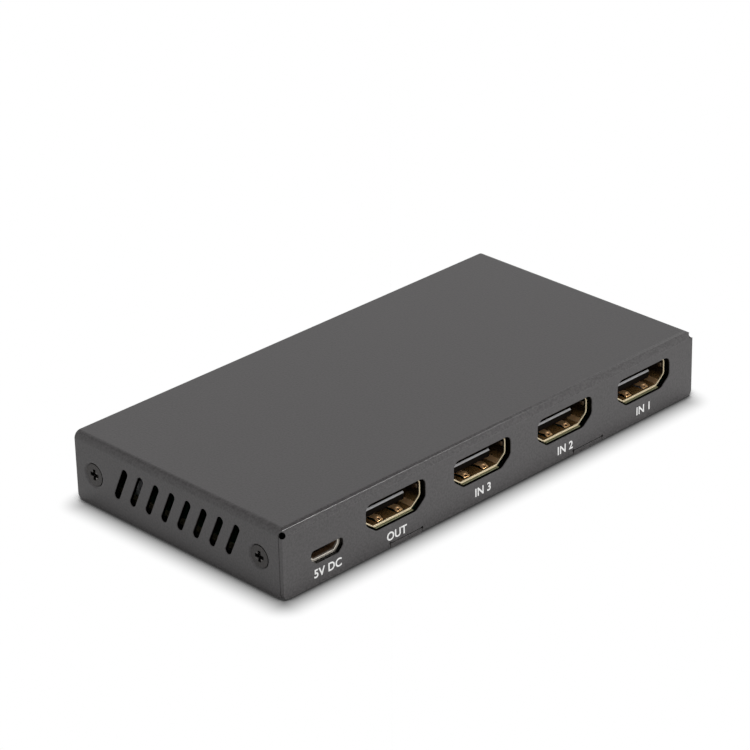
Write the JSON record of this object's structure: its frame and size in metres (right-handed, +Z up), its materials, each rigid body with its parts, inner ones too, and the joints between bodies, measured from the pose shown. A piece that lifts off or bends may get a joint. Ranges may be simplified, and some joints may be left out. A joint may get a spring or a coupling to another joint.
{
  "type": "hdmi switch box",
  "caption": "Flat folded-steel video switch box: a row of video sockets and a power socket at the rear, a round push button in a glossy front panel, slanted vents.",
  "frame": {"origin": "middle of the footprint, on the surface that the box stands on", "axes": "+X along the rear row of sockets towards the power socket, +Y from the front panel to the rear panel, +Z up"},
  "size_m": [0.115, 0.0596, 0.0147],
  "materials": {
    "powder_coat": "fine matt powder coat",
    "black_screw": "black oxide",
    "gloss_panel": "polished dark acrylic",
    "tape": "black adhesive foil",
    "button_metal": "turned, with a bright chamfer",
    "stem_plastic": "moulded",
    "switch_plastic": "moulded",
    "plunger_plastic": "moulded",
    "tinned_metal": "tinned",
    "board": "solder mask",
    "standoff_brass": "turned",
    "screw_steel": "zinc plated",
    "port_shell": "thin gold plating",
    "power_shell": "nickel plated",
    "port_plastic": "moulded",
    "contact_gold": "gold plated",
    "chip_plastic": "moulded",
    "ferrite": "pressed ferrite",
    "capacitor_ceramic": "fired",
    "resistor_film": "coated",
    "light_lens": "clear resin"
  },
  "bodies": {
    "case": {"top_cover": "powder_coat", "base_pan": "powder_coat", "case_screws": "black_screw", "front_panel": "gloss_panel", "panel_tape": "tape", "push_switch_body": "switch_plastic", "push_switch_terminals": "tinned_metal", "main_board": "board", "board_standoffs": "standoff_brass", "board_screws": "screw_steel", "power_port_shell": "power_shell", "power_port_insulator": "port_plastic", "power_port_contacts": "contact_gold", "switch_chip": "chip_plastic", "control_chip": "chip_plastic", "regulator_chip": "chip_plastic", "power_inductor": "ferrite", "clock_crystal": "tinned_metal", "protection_arrays": "chip_plastic", "capacitors": "capacitor_ceramic", "resistors": "resistor_film", "status_lights": "light_lens", "output_port_shell": "port_shell", "output_port_insulator": "port_plastic", "output_port_contacts": "contact_gold", "input_3_port_shell": "port_shell", "input_3_port_insulator": "port_plastic", "input_3_port_contacts": "contact_gold", "input_2_port_shell": "port_shell", "input_2_port_insulator": "port_plastic", "input_2_port_contacts": "contact_gold", "input_1_port_shell": "port_shell", "input_1_port_insulator": "port_plastic", "input_1_port_contacts": "contact_gold"},
    "button": {"button_cap": "button_metal", "button_stem": "stem_plastic"},
    "switch_plunger": {"push_switch_plunger": "plunger_plastic"}
  },
  "joints": [
    {"name": "button_press", "type": "slide", "parent": "case", "child": "button", "axis": [0, 1, 0], "range_m": [0, 0.00035], "stiffness_N_per_m": 4500, "springref_m": -0.0001},
    {"name": "plunger_press", "type": "slide", "parent": "case", "child": "switch_plunger", "axis": [0, 1, 0], "range_m": [0, 0.00035]}
  ],
  "couplings": [
    {"joint": "plunger_press", "follows": "button_press", "ratio": 1}
  ]
}
